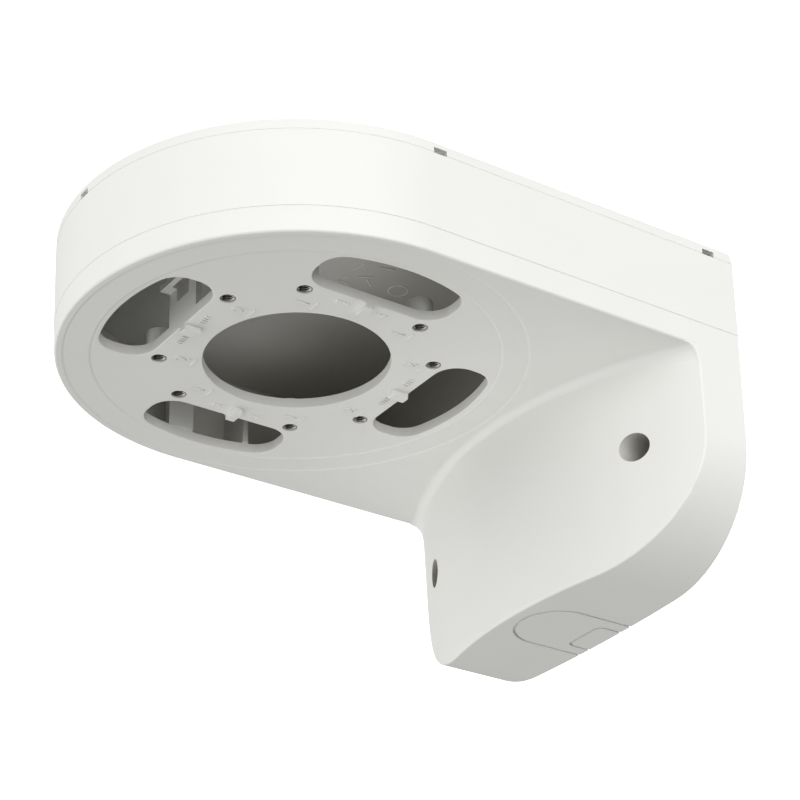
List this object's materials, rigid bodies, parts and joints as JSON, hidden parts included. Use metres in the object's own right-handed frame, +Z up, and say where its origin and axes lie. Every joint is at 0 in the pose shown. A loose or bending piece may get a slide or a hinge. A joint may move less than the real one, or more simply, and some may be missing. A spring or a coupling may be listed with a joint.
{
  "type": "camera wall bracket",
  "caption": "L-shaped plastic wall bracket with a hollow round-ended arm, a slotted camera seat underneath, a separate top cover and a short leg that screws to the wall.",
  "frame": {"origin": "on the wall plane, in the middle of the bracket's width, at the height of the two wall screws", "axes": "+Y into the wall, -Y along the arm away from the wall, +Z up, +X to the right seen from the wall's back to the arm's free end"},
  "size_m": [0.1506, 0.1908, 0.1054],
  "materials": {
    "shell_plastic": "fine matte off-white moulding",
    "cover_plastic": "fine matte off-white moulding",
    "insert_metal": "plated metal"
  },
  "bodies": {
    "root": {"body": "shell_plastic", "top_cover": "cover_plastic", "thread_inserts": "insert_metal"}
  },
  "joints": []
}
